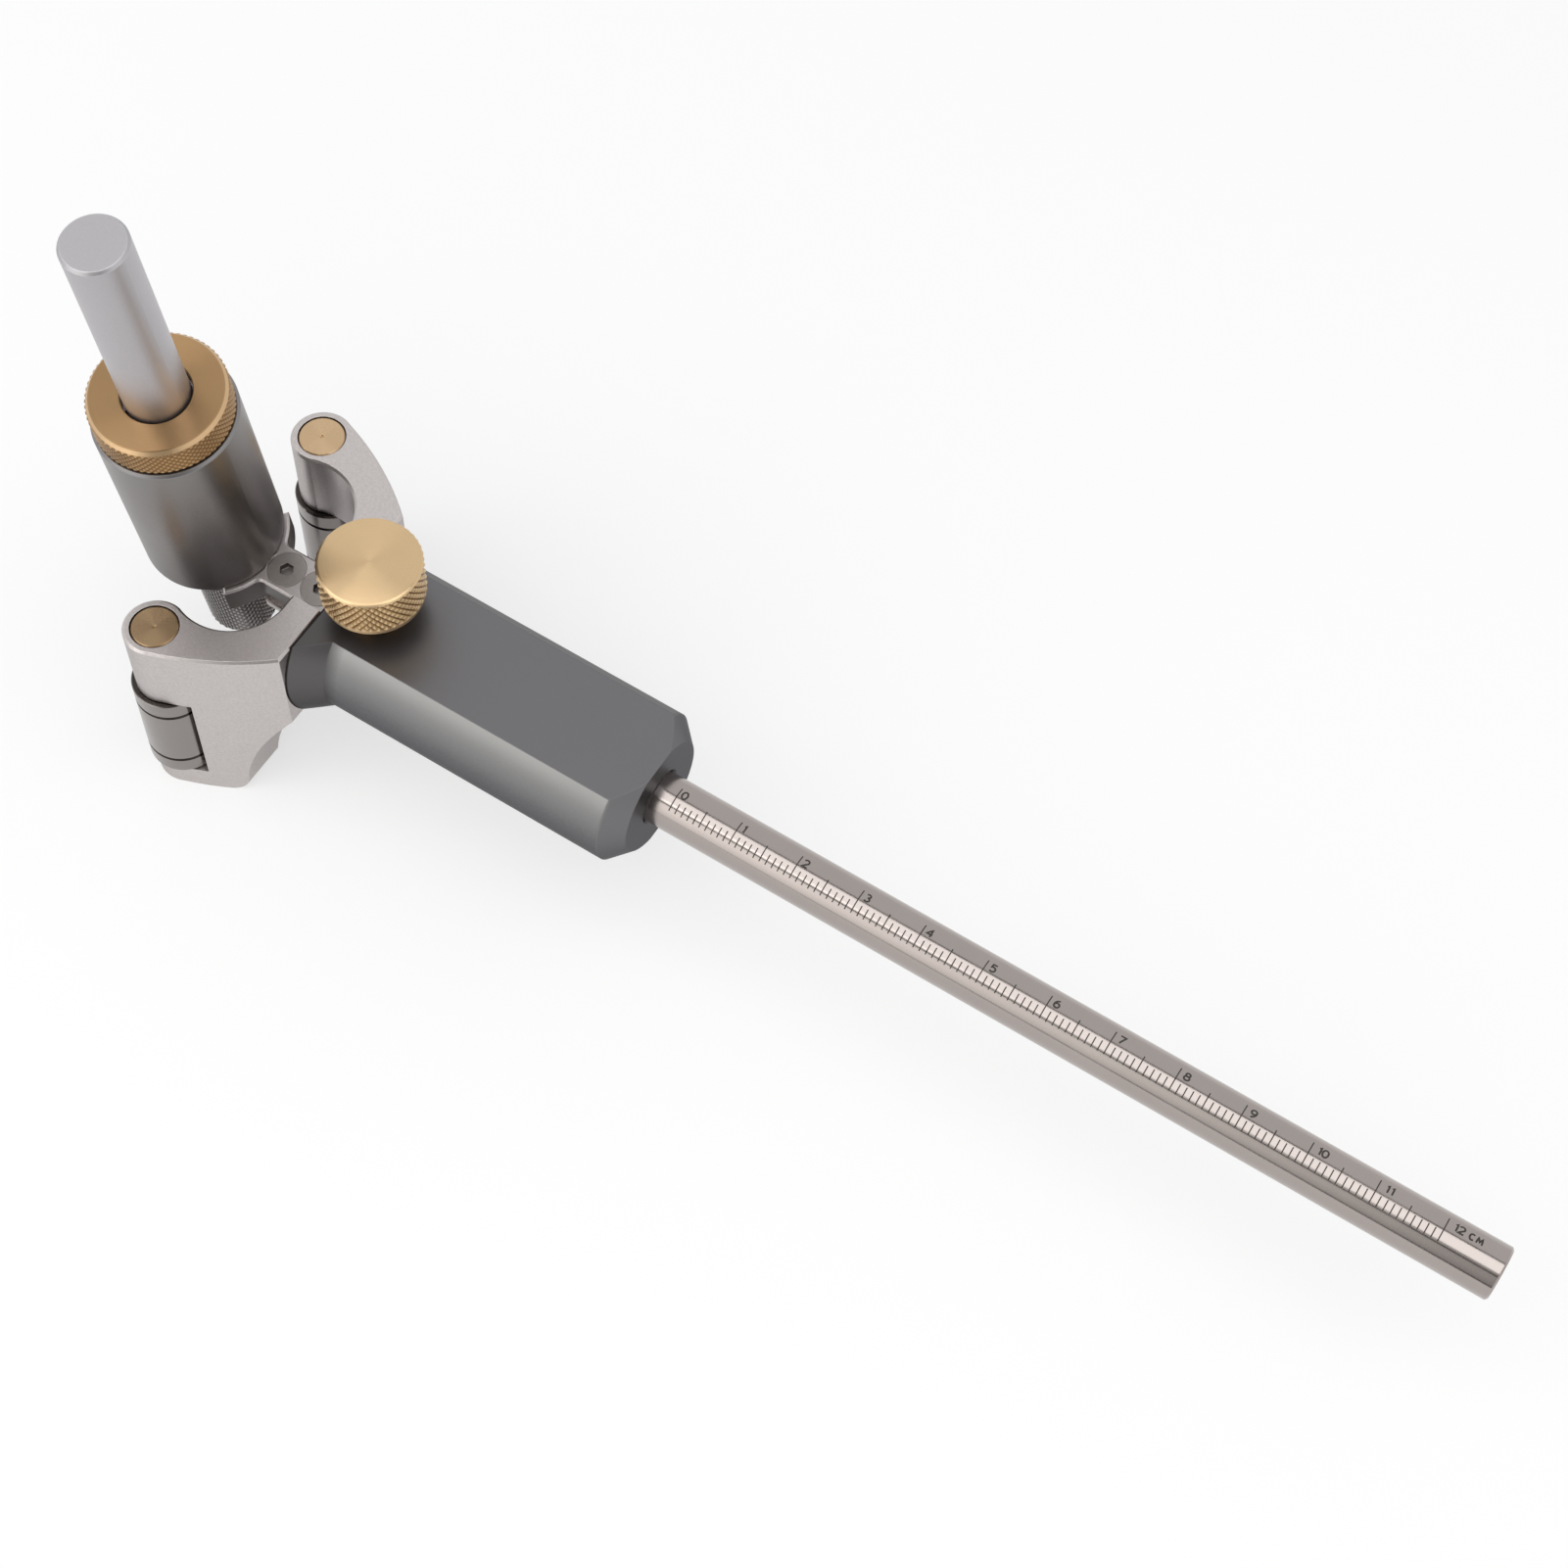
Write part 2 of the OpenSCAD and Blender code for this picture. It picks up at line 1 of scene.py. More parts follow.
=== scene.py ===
"""Looks of the scribing ruler: camera, light, node materials, knurled pieces and the rod's scale.

Lengths of the object are written in mm, and those of the stage in metres.
"""

import math

import bmesh
import bpy
from mathutils import Matrix, Vector


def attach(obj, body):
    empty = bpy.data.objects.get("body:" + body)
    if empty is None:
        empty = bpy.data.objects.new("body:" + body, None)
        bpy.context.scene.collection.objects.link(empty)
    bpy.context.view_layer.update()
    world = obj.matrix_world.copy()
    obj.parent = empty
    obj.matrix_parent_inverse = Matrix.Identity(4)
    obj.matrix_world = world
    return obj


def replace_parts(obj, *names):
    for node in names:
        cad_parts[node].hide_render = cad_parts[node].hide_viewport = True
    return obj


MM = 0.001


def turn_about(axis, degrees):
    return Matrix.Rotation(math.radians(degrees), 4, axis)


def moved(x=0.0, y=0.0, z=0.0):
    return Matrix.Translation((x * MM, y * MM, z * MM))


# The frame's origin is on the handle's lower flat; the rod lies above it and is turned at rest
ROD_Z = 8.5
ROD_RADIUS = 4.0
ROD_ROLL = 6.6
ROD = moved(z=ROD_Z) @ turn_about("X", ROD_ROLL)
PENCIL = ROD @ moved(x=-50.5)
KNOB = moved(x=-21.3, z=ROD_Z)
LEFT_PIN = moved(x=-45.9, y=-20.1)
RIGHT_PIN = moved(x=-45.9, y=20.1)
# The floor lies under the arms' lower faces, in metres
FLOOR_Z = -19.4 * MM


# ---------------------------------------------------------------- nodes
def node(owner, kind, **inputs):
    """Adds a node to a material or world.

    A keyword in lower case is a property, I0, I1 and so on are sockets by number, and any other is
    a socket by name. A value is a number, a colour or the output to link.
    """
    made = owner.node_tree.nodes.new("ShaderNode" + kind)
    for key, value in inputs.items():
        if not key[0].isupper():
            setattr(made, key, value)
            continue
        numbered = key[0] == "I" and key[1:].isdigit()
        socket = made.inputs[int(key[1:]) if numbered else key.replace("_", " ")]
        if isinstance(value, bpy.types.NodeSocket):
            owner.node_tree.links.new(value, socket)
        else:
            socket.default_value = value
    return made


def calc(owner, operation, *values):
    """Result of a Math node."""
    sockets = {f"I{k}": value for k, value in enumerate(values)}
    return node(owner, "Math", operation=operation, **sockets).outputs["Value"]


def remap(owner, value, low, high, from_low=0.0, from_high=1.0):
    """Result of a clamped Map Range node."""
    made = node(owner, "MapRange", Value=value, I1=from_low, I2=from_high, I3=low, I4=high)
    return made.outputs["Result"]


def coords(mat, matrix=None):
    """Object coordinates, or those of a turned piece's own axis."""
    out = node(mat, "TexCoord").outputs["Object"]
    if matrix is None:
        return out
    place = matrix.inverted()
    return node(
        mat, "Mapping", vector_type="POINT", Vector=out,
        Location=place.to_translation(), Rotation=place.to_euler(),
    ).outputs["Vector"]


def noise(mat, vector, scale):
    return node(mat, "TexNoise", Vector=vector, Scale=scale, Detail=3.0).outputs["Fac"]


def mixed(mat, mask, under, over):
    """Colour from `under`, a colour or an output, to the colour `over` by the mask."""
    if not isinstance(under, bpy.types.NodeSocket):
        under = (*under, 1)
    return node(mat, "Mix", data_type="RGBA", I0=mask, I6=under, I7=(*over, 1)).outputs[2]


def speckled(mat, value, color, spread):
    """From darker to lighter than the colour, by the share `spread` each way, with the value."""
    dark, light = (tuple(min(1.0, c * k) for c in color) for k in (1 - spread, 1 + spread))
    return mixed(mat, value, dark, light)


def rounded(mat, radius):
    """Normal that softens edges to the radius."""
    return node(mat, "Bevel", samples=4, Radius=radius * MM).outputs["Normal"]


def edge_mask(mat, soft):
    """1 where the softened normal leaves the true one, which is along the edges."""
    true = node(mat, "NewGeometry").outputs["Normal"]
    cosine = node(mat, "VectorMath", operation="DOT_PRODUCT", I0=soft, I1=true).outputs["Value"]
    on_edge, off_edge = 0.8, 0.985
    return remap(mat, cosine, 1.0, 0.0, on_edge, off_edge)


def banded(mat, place, tone, bands):
    """Lays colour bands on the tone; each is (axis, middle, half width, soft margin, colour)."""
    for axis, middle, half, margin, over in bands:
        along = node(mat, "SeparateXYZ", Vector=place).outputs[axis]
        off = calc(mat, "ABSOLUTE", calc(mat, "SUBTRACT", along, middle * MM))
        mask = remap(mat, off, 1.0, 0.0, half * MM, (half + margin) * MM)
        tone = mixed(mat, mask, tone, over)
    return tone


# ---------------------------------------------------------------- materials
# Scales of the noise, and how far tone and gloss wander from their middle
BLAST_GRAIN = 2600
BLAST_BROAD = 90
TURNED_LINES = 9000
TURNED_BROAD = 160
TURNED_SPREAD = 0.08
GLOSS_SPREAD = 0.05


def shader_of(mat):
    return mat.node_tree.nodes["Principled BSDF"]


def plug(mat, **outputs):
    """Links outputs to the shader's sockets."""
    for socket, output in outputs.items():
        mat.node_tree.links.new(output, shader_of(mat).inputs[socket.replace("_", " ")])


def material(name, color, metallic, roughness, **values):
    """New material; values go to the shader's own sockets."""
    mat = bpy.data.materials.new(name)
    mat.use_nodes = True
    values = {"Base_Color": (*color, 1), "Metallic": metallic, "Roughness": roughness, **values}
    for socket, value in values.items():
        shader_of(mat).inputs[socket.replace("_", " ")].default_value = value
    return mat


def finish_metal(mat, tone, broad, roughness, bump):
    """Links the tone and the bump, and a gloss that wanders with the broad noise."""
    gloss = remap(mat, broad, roughness - GLOSS_SPREAD, roughness + GLOSS_SPREAD)
    plug(mat, Base_Color=tone, Roughness=gloss, Normal=bump.outputs["Normal"])


def blasted(name, color, roughness, depth=0.012, spread=0.12, metallic=1.0, worn=None,
            radius=0.12, matrix=None, bands=(), **values):
    """Bead blasted metal: fine grain in tone and bump, broad noise in gloss, and soft edges.

    depth is the grain's, worn is the colour of rubbed edges, and radius is that of the edges.
    """
    mat = material(name, color, metallic, roughness, **values)
    place = coords(mat, matrix)
    fine = noise(mat, place, BLAST_GRAIN)
    broad = noise(mat, place, BLAST_BROAD)
    soft = rounded(mat, radius)
    tone = speckled(mat, fine, color, spread)
    if worn:
        # The broad noise makes the rubbing uneven
        rubbed = calc(mat, "MULTIPLY", edge_mask(mat, soft), remap(mat, broad, 0.55, 1.2))
        tone = mixed(mat, rubbed, tone, worn)
    bump = node(mat, "Bump", Strength=0.6, Distance=depth * MM, Height=fine, Normal=soft)
    finish_metal(mat, banded(mat, place, tone, bands), broad, roughness, bump)
    return mat


def turned(name, color, roughness, matrix=None, anisotropy=0.6, axis="Z", bevel=0.1,
           groove_shade=None, bands=()):
    """Turned metal: rings of fine tool marks about the piece's axis.

    groove_shade is (low, high, top, colour), painted shade in a knurl's grooves: between the radii
    low and high the metal fades to that colour inwards, at heights below top.
    """
    mat = material(
        name, color, 1.0, roughness, Anisotropic=anisotropy, Anisotropic_Rotation=0.25,
    )
    place = coords(mat, matrix)
    parts = node(mat, "SeparateXYZ", Vector=place).outputs
    flat = node(mat, "CombineXYZ", X=parts["X"], Y=parts["Y"]).outputs["Vector"]
    radius = node(mat, "VectorMath", operation="LENGTH", I0=flat).outputs["Value"]
    # Tool marks follow the radius on a face and the height on a side
    track = calc(mat, "ADD", radius, parts["Z"])
    marks = node(
        mat, "TexNoise", noise_dimensions="1D", W=track, Scale=TURNED_LINES, Detail=2.0,
    ).outputs["Fac"]
    broad = noise(mat, place, TURNED_BROAD)
    # The broad noise shifts the tool marks' tone by up to 0.3 each way
    wander = calc(mat, "MULTIPLY_ADD", broad, 0.6, -0.3)
    tone = speckled(mat, calc(mat, "ADD", marks, wander), color, TURNED_SPREAD)
    # Painted shade in the knurl's grooves
    if groove_shade:
        low, high, top, groove_shade_color = groove_shade
        margin = 0.1
        inside = remap(mat, radius, 1.0, 0.0, low * MM, high * MM)
        below = remap(mat, parts["Z"], 1.0, 0.0, (top - margin) * MM, top * MM)
        tone = mixed(mat, calc(mat, "MULTIPLY", inside, below), tone, groove_shade_color)
    bump = node(mat, "Bump", Strength=0.35, Distance=0.004 * MM, Height=marks)
    if bevel:
        mat.node_tree.links.new(rounded(mat, bevel), bump.inputs["Normal"])
    finish_metal(mat, banded(mat, place, tone, bands), broad, roughness, bump)
    plug(mat, Tangent=node(mat, "Tangent", direction_type="RADIAL", axis=axis).outputs["Tangent"])
    return mat


def paint(mat, *names):
    """Puts the material in every slot of these CAD nodes."""
    for name in names:
        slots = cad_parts[name].data.materials
        if not len(slots):
            slots.append(mat)
        for i in range(len(slots)):
            slots[i] = mat


def both(*names):
    """The nodes of these names on the left and on the right."""
    return [f"{side}_{name}" for side in ("left", "right") for name in names]


# ---------------------------------------------------------------- meshes
SHARP_ANGLE = math.radians(20)
# Half size of a diamond's flat top, as a share of the way from its middle to its corners
KNURL_TOP = 0.3


def polar(radius, degrees):
    return radius * math.cos(math.radians(degrees)), radius * math.sin(math.radians(degrees))


def arc(cx, cy, rx, ry, start, end, steps=10):
    """Points along an arc of an ellipse, from one angle in degrees to another."""
    turn = (end - start) / steps
    units = [polar(1, start + turn * k) for k in range(steps + 1)]
    return [(cx + rx * x, cy + ry * y) for x, y in units]


def bridge(bm, a, b):
    """Quads between two closed loops of vertices."""
    for k in range(len(a)):
        n = (k + 1) % len(a)
        bm.faces.new((a[k], a[n], b[n], b[k]))


def add_object(name, bm):
    mesh = bpy.data.meshes.new(name)
    bm.to_mesh(mesh)
    bm.free()
    obj = bpy.data.objects.new(name, mesh)
    bpy.context.scene.collection.objects.link(obj)
    return obj


def finish_mesh(name, bm, matrix, mat, body, smooth=True):
    """Makes the piece's object, which rides on the CAD body."""
    bmesh.ops.recalc_face_normals(bm, faces=bm.faces)
    obj = add_object(name, bm)
    if smooth:
        for poly in obj.data.polygons:
            poly.use_smooth = True
        obj.data.set_sharp_from_angle(angle=SHARP_ANGLE)
    obj.data.materials.append(mat)
    obj.matrix_world = matrix
    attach(obj, body)
    return obj


def knurled(name, matrix, mat, body, below, band, above, count, depth, closed):
    """Turned piece with a diamond knurl between two heights.

    below and above are (radius, height) on either side of the band, band is (radius, low, high,
    rows). A closed profile joins its two ends, an open one ends on the axis twice.
    """
    bm = bmesh.new()
    step = math.pi / count
    around = range(0, 2 * count, 2)
    turns = [turn for i in around for turn in (i, i + 1 - KNURL_TOP, i + 1 + KNURL_TOP)]

    def vert(i, r, z):
        a = i * step
        return bm.verts.new((r * math.cos(a) * MM, r * math.sin(a) * MM, z * MM))

    def ring(r, z):
        return [vert(i, r, z) for i in turns]

    radius, low, high, rows = band
    rise = (high - low) / rows
    # Crossings of the grooves, at every other step of every row
    cross = {}
    for j in range(rows + 1):
        for i in range(j % 2, 2 * count, 2):
            cross[i, j] = vert(i, radius - depth, low + j * rise)
    # Between them stands a flat topped diamond, cut in half on the first and last row
    edge = {0: [], rows: []}
    for j in range(rows + 1):
        z = low + j * rise
        for i in range((j + 1) % 2, 2 * count, 2):
            west = cross[(i - 1) % (2 * count), j]
            east = cross[(i + 1) % (2 * count), j]
            left, right = vert(i - KNURL_TOP, radius, z), vert(i + KNURL_TOP, radius, z)
            flat = [left]
            if j > 0:
                south = cross[i, j - 1]
                down = vert(i, radius, z - KNURL_TOP * rise)
                bm.faces.new((left, west, south, down))
                bm.faces.new((down, south, east, right))
                flat.append(down)
            flat.append(right)
            if j < rows:
                north = cross[i, j + 1]
                up = vert(i, radius, z + KNURL_TOP * rise)
                bm.faces.new((right, east, north, up))
                bm.faces.new((up, north, west, left))
                flat.append(up)
            bm.faces.new(flat)
            if j in edge:
                edge[j] += [west, left, right]
    lowers = [ring(*p) for p in below]
    for a, b in zip(lowers, lowers[1:] + [edge[0]]):
        bridge(bm, a, b)
    uppers = [ring(*p) for p in above]
    for a, b in zip([edge[rows]] + uppers, uppers):
        bridge(bm, a, b)
    if closed:
        bridge(bm, uppers[-1], lowers[0])
    else:
        for end, z in ((lowers[0], below[0][1]), (uppers[-1], above[-1][1])):
            mid = bm.verts.new((0, 0, z * MM))
            for k in range(len(end)):
                bm.faces.new((end[k], end[(k + 1) % len(end)], mid))
    return finish_mesh(name, bm, matrix, mat, body)


def inset(outline, width):
    """Points of a counterclockwise outline moved inwards, to its left, by the width."""
    moved_in = []
    for k, (x, y) in enumerate(outline):
        (ax, ay), (bx, by) = outline[k - 1], outline[(k + 1) % len(outline)]
        one = Vector((x - ax, y - ay)).normalized()
        two = Vector((bx - x, by - y)).normalized()
        side = Vector((-one.y, one.x)) + Vector((-two.y, two.x))
        moved_in.append(Vector((x, y)) + side * (width / max(0.3, side.length_squared / 2)))
    return moved_in


def lug_piece(mat):
    """The rod's lug: ledge round the tube's foot, filleted into the neck, top edge bevelled."""
    # Outer radii of the eye and its ledge, the neck's half width, and sizes of fillet and bevel
    eye, ledge, neck, fillet, bevel = 7.8, 11.15, 3.45, 1.2, 0.3
    # Heights of the lower and upper face, and the rear end's distance from the tube's axis
    low, high, rear = 1.2, 6.0, 22.8
    # The ledge ends along the radius at this angle, and its arc goes on from the other one
    ledge_end, ledge_start = 46.3, 44.3
    reach = math.sqrt((ledge + fillet) ** 2 - (neck + fillet) ** 2)
    turn = math.degrees(math.atan2(neck + fillet, reach))
    half = [polar(eye, a) for a in range(180, 48, -4)]
    half += [polar(r, ledge_end) for r in (eye, ledge)]
    half += arc(0, 0, ledge, ledge, ledge_start, turn)
    half += arc(reach, neck + fillet, fillet, fillet, 180 + turn, 270, 8)[1:]
    half += [(rear, neck)]
    outline = half + [(x, -y) for x, y in reversed(half[1:])]
    outline.reverse()
    bm = bmesh.new()

    def loop(points, z):
        return [bm.verts.new((p[0] * MM, p[1] * MM, z * MM)) for p in points]

    def stack(loops):
        for a, b in zip(loops, loops[1:]):
            bridge(bm, a, b)
        return loops[0], loops[-1]

    # Each wall is a stack of loops: the outside, the eye's bore and the two screw holes
    outside = [(outline, low), (outline, high - bevel), (inset(outline, bevel), high)]
    walls = [stack([loop(points, z) for points, z in outside])]
    # Radius and height at each step of a hole, and the holes' distances from the tube's axis
    bore = [(6.65, low), (6.65, high)]
    countersunk = [(1.5, low), (1.5, 4.5), (2.85, 5.85), (2.95, 5.85), (3.02, high)]
    for x, steps in ((0, bore), (13.2, countersunk), (19.3, countersunk)):
        walls.append(stack([loop(arc(x, 0, r, r, 0, 360, 48)[:-1], z) for r, z in steps]))
    for loops in zip(*walls):
        edges = [bm.edges.get((v[k - 1], v[k])) for v in loops for k in range(len(v))]
        bmesh.ops.triangle_fill(bm, edges=edges, use_beauty=True)
    return finish_mesh("lug", bm, PENCIL, mat, "rod")


# ---------------------------------------------------------------- the rod's scale
# Strokes of each sign in a box one wide and one high
GLYPHS = {
    "0": [arc(0.5, 0.5, 0.42, 0.5, 90, 450, 16)],
    "1": [[(0.25, 0.8), (0.5, 1), (0.5, 0)]],
    "2": [arc(0.48, 0.7, 0.38, 0.3, 160, -35) + [(0.08, 0), (0.92, 0)]],
    "3": [arc(0.45, 0.76, 0.36, 0.24, 140, -90), arc(0.45, 0.27, 0.42, 0.27, 90, -140)],
    "4": [[(0.7, 0), (0.7, 1), (0.05, 0.3), (0.95, 0.3)]],
    "5": [[(0.85, 1), (0.25, 1), (0.18, 0.56)] + arc(0.46, 0.32, 0.42, 0.32, 120, -140)],
    "6": [arc(0.8, 0.35, 0.7, 0.65, 95, 175, 6), arc(0.5, 0.3, 0.4, 0.3, 0, 360, 14)],
    "7": [[(0.08, 1), (0.92, 1), (0.35, 0)]],
    "8": [arc(0.5, 0.76, 0.33, 0.24, 0, 360, 12), arc(0.5, 0.27, 0.42, 0.27, 0, 360, 14)],
    "9": [arc(0.2, 0.65, 0.7, 0.65, 275, 355, 6), arc(0.5, 0.7, 0.4, 0.3, 0, 360, 14)],
    "C": [arc(0.52, 0.5, 0.42, 0.5, 50, 310, 12)],
    "M": [[(0.02, 0), (0.14, 1), (0.5, 0.25), (0.86, 1), (0.98, 0)]],
}
# From one sign to the next, in widths of a sign
ADVANCE, ADVANCE_ONE = 1.32, 0.72
# Place of the zero along the rod, and length of the scale. The engraving winds slightly round the
# rod: angle of its base line at the zero, and its change per mm
SCALE_X = 30.7
SCALE_LENGTH = 120
BASE_ANGLE = math.radians(34.7)
BASE_DRIFT = math.radians(-0.1)
# Radii of a mark's top and of its foot in the rod's skin
MARK_TOP = 4.012
MARK_FOOT = 3.95
# Lengths of the marks at each centimetre, half and millimetre, and widths of the strokes
TICK_CM, TICK_HALF, TICK_MM = 3.87, 2.54, 1.59
TICK_WIDTH = 0.17
SIGN_WIDTH = 0.26
# How far round the rod the signs stand, and heights and widths of numbers and unit
SIGN_FOOT = 2.43
NUMBER_SIZE = (1.22, 0.98)
UNIT_SIZE = (1.0, 0.85)
# The numbers stand behind their marks, each a little more than the last, and the unit follows
NUMBER_LAG = 0.45
NUMBER_DRIFT = 1.004
UNIT_X = 123.2
# Longest piece of a stroke, so that it follows the rod's skin, and limit of a corner's mitre
FINE_STEP = 0.35
MITRE_LIMIT = 0.6


def on_skin(x, s, radius):
    """Point on the rod's skin: x along it, s round it from the scale's base line."""
    a = BASE_ANGLE + BASE_DRIFT * (x - SCALE_X) - s / ROD_RADIUS
    return Vector((x, -radius * math.sin(a), radius * math.cos(a))) * MM


def finely(points):
    """The points (x, s) with more between them, so that no step is longer than FINE_STEP."""
    fine = [points[0]]
    for (ax, ay), (bx, by) in zip(points, points[1:]):
        parts = max(1, math.ceil(math.dist((ax, ay), (bx, by)) / FINE_STEP))
        for k in range(1, parts + 1):
            fine.append((ax + (bx - ax) * k / parts, ay + (by - ay) * k / parts))
    return fine


def stroke(bm, points, width):
    """Filled line of even width through points (x, s), a closed bar sunk in the rod's skin."""
    fine = finely(points)
    loop = math.dist(fine[0], fine[-1]) < 1e-6
    if loop:
        fine.pop()
    corners = ((1, MARK_TOP), (-1, MARK_TOP), (-1, MARK_FOOT), (1, MARK_FOOT))
    cuts = []
    for k, p in enumerate(fine):
        before = fine[k - 1] if k or loop else None
        after = fine[(k + 1) % len(fine)] if k + 1 < len(fine) or loop else None
        legs = [(q, r) for q, r in ((p, before), (after, p)) if q and r]
        ways = [Vector((q[0] - r[0], q[1] - r[1])).normalized() for q, r in legs]
        way = sum(ways, Vector((0, 0))).normalized()
        side = Vector((-way.y, way.x)) * (width / 2 / max(MITRE_LIMIT, way.dot(ways[0])))
        places = [on_skin(p[0] + m * side.x, p[1] + m * side.y, r) for m, r in corners]
        cuts.append([bm.verts.new(place) for place in places])
    for a, b in zip(cuts, cuts[1:] + cuts[:1] if loop else cuts[1:]):
        bridge(bm, a, b)
    if not loop:
        bm.faces.new(cuts[0][::-1])
        bm.faces.new(cuts[-1])


def write(bm, text, x, size):
    """Signs of one size from x on; a 1 takes less room than the others."""
    high, wide = size
    for sign in text:
        for line in GLYPHS[sign]:
            stroke(bm, [(x + px * wide, SIGN_FOOT + py * high) for px, py in line], SIGN_WIDTH)
        x += wide * (ADVANCE_ONE if sign == "1" else ADVANCE)


def scale_marks(mat):
    """The engraved scale: a mark at each mm, the numbers 0 to 12 and the unit."""
    bm = bmesh.new()
    for k in range(SCALE_LENGTH + 1):
        length = TICK_CM if k % 10 == 0 else TICK_HALF if k % 5 == 0 else TICK_MM
        stroke(bm, [(SCALE_X + k, 0), (SCALE_X + k, length)], TICK_WIDTH)
        if k % 10 == 0:
            write(bm, str(k // 10), SCALE_X + k * NUMBER_DRIFT + NUMBER_LAG, NUMBER_SIZE)
    write(bm, "CM", SCALE_X + UNIT_X, UNIT_SIZE)
    finish_mesh("scale_marks", bm, ROD, mat, "rod", smooth=False)


# ---------------------------------------------------------------- stage
def camera():
    """The photograph's camera, solved from the scale's marks and the outlines."""
    data = bpy.data.cameras.new("camera")
    data.lens = 67.886
    data.sensor_width = 36
    data.shift_x = 0.01103
    data.shift_y = 0.00084
    data.clip_start = 0.01
    data.clip_end = 20
    cam = bpy.data.objects.new("camera", data)
    right = Vector((0.84568, 0.53306, 0.02607))
    up = Vector((-0.47487, 0.72928, 0.49260))
    back = Vector((0.24357, -0.42895, 0.86987))
    turn = Matrix((right, up, back)).transposed().to_4x4()
    cam.matrix_world = Matrix.Translation((0.14238, -0.17171, 0.37676)) @ turn
    bpy.context.scene.collection.objects.link(cam)
    bpy.context.scene.camera = cam


def softbox(name, place, turn, size, strength, color=(1, 1, 1)):
    """Area light; a strength of 1 looks white."""
    data = bpy.data.lights.new(name, "AREA")
    data.shape = "RECTANGLE"
    data.size, data.size_y = size
    data.energy = strength * math.pi * size[0] * size[1]
    data.color = color
    lamp = bpy.data.objects.new(name, data)
    lamp.location = place
    lamp.rotation_euler = turn
    bpy.context.scene.collection.objects.link(lamp)


def plane(name, cloth, size, place, turn=(0, 0, 0)):
    """Rectangle with a bare material, named `cloth`; returns the object and the material."""
    bm = bmesh.new()
    bmesh.ops.create_grid(bm, x_segments=1, y_segments=1, size=0.5)
    bmesh.ops.scale(bm, vec=(*size, 1), verts=bm.verts)
    obj = add_object(name, bm)
    obj.location = place
    obj.rotation_euler = turn
    mat = bpy.data.materials.new(cloth)
    mat.use_nodes = True
    mat.node_tree.nodes.remove(shader_of(mat))
    obj.data.materials.append(mat)
    return obj, mat


def show(owner, share, under, over):
    """Makes a mix of two shader nodes the surface; share is the part of `over`."""
    mix = node(owner, "MixShader", Fac=share, I1=under.outputs[0], I2=over.outputs[0])
    tree = owner.node_tree
    output = next(n for n in tree.nodes if n.bl_idname.startswith("ShaderNodeOutput"))
    tree.links.new(mix.outputs[0], output.inputs["Surface"])


def card(name, size, place, turn, fades):
    """Dark cloth before a light, seen in the metal alone.

    Each fade is (axis, start, end, clear at the start, clear at the end), in the card's own frame.
    """
    obj, mat = plane(name, name + "_cloth", size, place, turn)
    parts = node(mat, "SeparateXYZ", Vector=coords(mat)).outputs
    clear = 1.0
    for axis, start, end, at_start, at_end in fades:
        fade = remap(mat, parts[axis], at_start, at_end, start, end)
        clear = calc(mat, "MULTIPLY", clear, fade)
    cloth = node(mat, "BsdfDiffuse", Color=(0.02, 0.02, 0.02, 1))
    show(mat, clear, cloth, node(mat, "BsdfTransparent"))
    obj.visible_camera = obj.visible_diffuse = obj.visible_shadow = False
    return obj


def camera_rays(owner):
    return node(owner, "LightPath").outputs["Is Camera Ray"]


def seen_rays(owner):
    """1 for the rays by which the background is seen, straight or in metal."""
    seen = camera_rays(owner)
    path = node(owner, "LightPath").outputs
    for kind in ("Is Glossy Ray", "Is Transmission Ray"):
        seen = calc(owner, "MAXIMUM", seen, path[kind])
    return seen


def white_world():
    """Plain light, with pure white in the picture and a little less in the metal."""
    world = bpy.data.worlds.new("world")
    bpy.context.scene.world = world
    world.use_nodes = True
    light = world.node_tree.nodes["Background"]
    light.inputs["Color"].default_value = (0.98, 0.99, 1.0, 1)
    light.inputs["Strength"].default_value = 0.6
    in_metal = 0.88
    level = calc(world, "MULTIPLY_ADD", camera_rays(world), 1 - in_metal, in_metal)
    white = node(world, "Background", Color=(1, 1, 1, 1), Strength=level)
    show(world, seen_rays(world), light, white)


def white_floor():
    """Paper that keeps the object's shadow and runs into the white background far from it."""
    floor, mat = plane("floor", "floor_paper", (4.0, 4.0), (0, 0, FLOOR_Z))
    paper = node(mat, "BsdfDiffuse", Color=(0.9, 0.9, 0.9, 1))
    glow = node(mat, "Emission", Strength=1.0)
    # The glow's part in the metal, and in the picture near the object and far from it
    in_metal, near, far = 0.4, 0.55, 1.0
    near_end, far_start = 0.3, 1.2
    away = node(mat, "VectorMath", operation="LENGTH", I0=coords(mat)).outputs["Value"]
    part = remap(mat, away, near, far, near_end, far_start)
    in_picture = calc(mat, "MULTIPLY", camera_rays(mat), part)
    seen = calc(mat, "MULTIPLY", seen_rays(mat), in_metal)
    show(mat, calc(mat, "MAXIMUM", seen, in_picture), paper, glow)
    return floor


